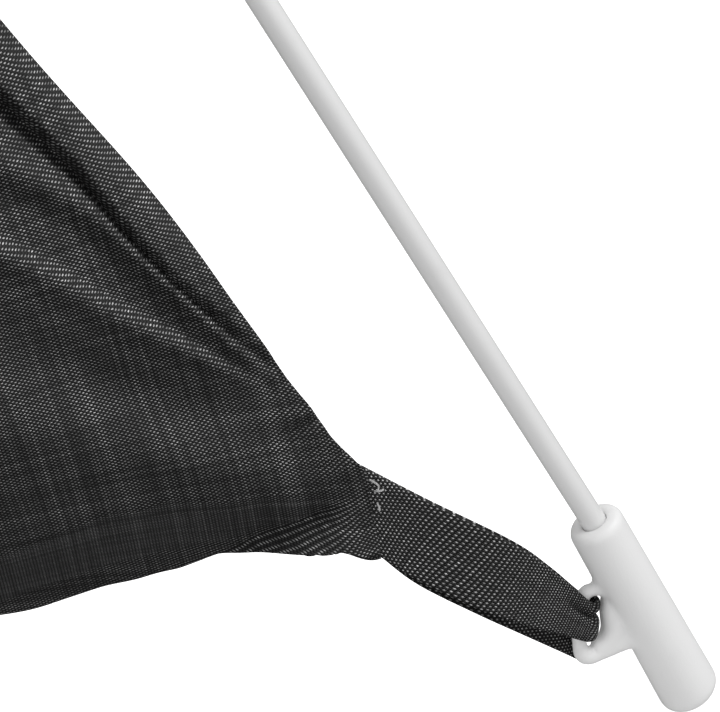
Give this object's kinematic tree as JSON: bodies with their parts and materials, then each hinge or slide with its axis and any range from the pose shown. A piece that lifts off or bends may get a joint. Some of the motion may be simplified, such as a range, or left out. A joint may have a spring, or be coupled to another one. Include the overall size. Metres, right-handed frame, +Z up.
{
  "type": "roundnet set",
  "caption": "Round net in a tube ring on folding rod legs, with fabric panels on two sides tied by webbing loops to moulded feet, and a ball.",
  "frame": {"origin": "on the ground, under the centre of the net", "axes": "+Z up, leg 1 at azimuth -45 degrees, side panel 1 faces -Y, side panel 2 faces +Y"},
  "size_m": [0.8194, 0.8216, 0.3712],
  "materials": {
    "white_plastic": "satin moulded nylon",
    "white_rod": "smooth coated glass-fibre rod",
    "white_tube": "smooth extruded tube",
    "steel": "zinc-plated",
    "webbing": "coarse plain-weave webbing",
    "oxford_cloth": "coated Oxford weave",
    "net_cord": "flat knitted net strand",
    "ball_rubber": "matte moulded rubber"
  },
  "bodies": {
    "frame": {"ring_tube_1": "white_tube", "ring_tube_2": "white_tube", "ring_tube_3": "white_tube", "ring_tube_4": "white_tube", "ring_bracket_1": "white_plastic", "ring_bracket_2": "white_plastic", "ring_bracket_3": "white_plastic", "ring_bracket_4": "white_plastic", "pivot_pin_1": "steel", "pivot_pin_2": "steel", "pivot_pin_3": "steel", "pivot_pin_4": "steel", "side_panel_1": "oxford_cloth", "side_panel_2": "oxford_cloth", "panel_loops": "webbing", "round_net": "net_cord", "net_band": "webbing", "net_tabs": "webbing", "net_hooks": "white_plastic"},
    "leg_1": {"leg_knuckle_1": "white_plastic", "leg_rod_1": "white_rod", "foot_1": "white_plastic", "strap_1_right": "webbing"},
    "leg_2": {"leg_knuckle_2": "white_plastic", "leg_rod_2": "white_rod", "foot_2": "white_plastic", "strap_2_left": "webbing"},
    "leg_3": {"leg_knuckle_3": "white_plastic", "leg_rod_3": "white_rod", "foot_3": "white_plastic", "strap_2_right": "webbing"},
    "leg_4": {"leg_knuckle_4": "white_plastic", "leg_rod_4": "white_rod", "foot_4": "white_plastic", "strap_1_left": "webbing"},
    "ball": {"ball": "ball_rubber"}
  },
  "joints": [
    {"name": "leg_fold_1", "type": "hinge", "parent": "frame", "child": "leg_1", "pos_m": [0.29203, -0.29203, 0.25748], "axis": [0.7071, 0.7071, 0], "range_deg": [0, 110]},
    {"name": "leg_fold_2", "type": "hinge", "parent": "frame", "child": "leg_2", "pos_m": [0.29203, 0.29203, 0.25748], "axis": [-0.7071, 0.7071, 0], "range_deg": [0, 110]},
    {"name": "leg_fold_3", "type": "hinge", "parent": "frame", "child": "leg_3", "pos_m": [-0.29203, 0.29203, 0.25748], "axis": [-0.7071, -0.7071, 0], "range_deg": [0, 110]},
    {"name": "leg_fold_4", "type": "hinge", "parent": "frame", "child": "leg_4", "pos_m": [-0.29203, -0.29203, 0.25748], "axis": [0.7071, -0.7071, 0], "range_deg": [0, 110]},
    {"name": "ball_lift", "type": "slide", "parent": "frame", "child": "ball", "axis": [0, 0, 1], "range_m": [0, 0.25]}
  ]
}
